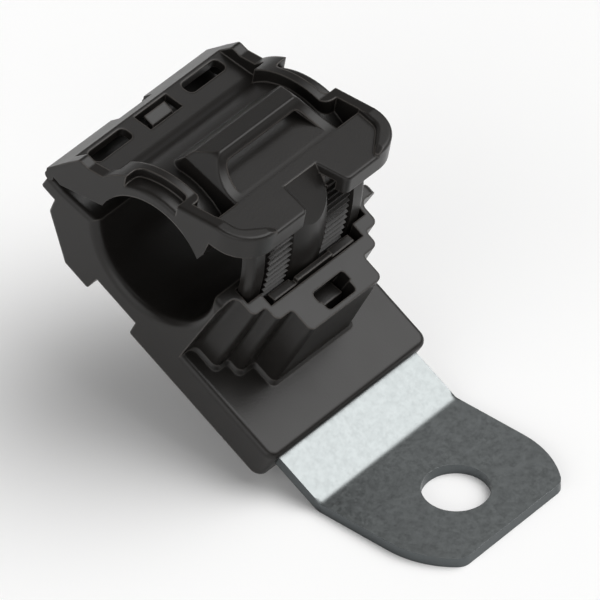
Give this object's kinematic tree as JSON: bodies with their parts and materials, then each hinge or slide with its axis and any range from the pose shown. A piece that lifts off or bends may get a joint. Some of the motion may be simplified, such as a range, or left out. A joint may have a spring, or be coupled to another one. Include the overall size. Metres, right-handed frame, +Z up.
{
  "type": "ratchet p clamp",
  "caption": "P clip for cables and hoses: a hinged upper jaw with a curved ratchet strap closes on a lower jaw, which is moulded on a bent steel plate with a bolt hole",
  "frame": {"origin": "centre of the bolt hole on the underside of the fixing plate", "axes": "+X along the bundle that the clamp holds, +Y from the bolt hole towards the hinge, +Z up from the surface that the plate is bolted to"},
  "size_m": [0.031, 0.0652, 0.0437],
  "materials": {
    "zinc_steel": "hot-dip galvanised with a fine spangle",
    "lower_moulding": "black nylon, faintly sheened",
    "upper_moulding": "black nylon, faintly sheened"
  },
  "bodies": {
    "clamp_base": {"fixing_plate": "zinc_steel", "lower_jaw": "lower_moulding"},
    "lid": {"upper_jaw": "upper_moulding"}
  },
  "joints": [
    {"name": "jaw_hinge", "type": "hinge", "parent": "clamp_base", "child": "lid", "pos_m": [0, 0.05458, 0.03353], "axis": [-1, 0, 0], "range_deg": [-18, 80]}
  ]
}
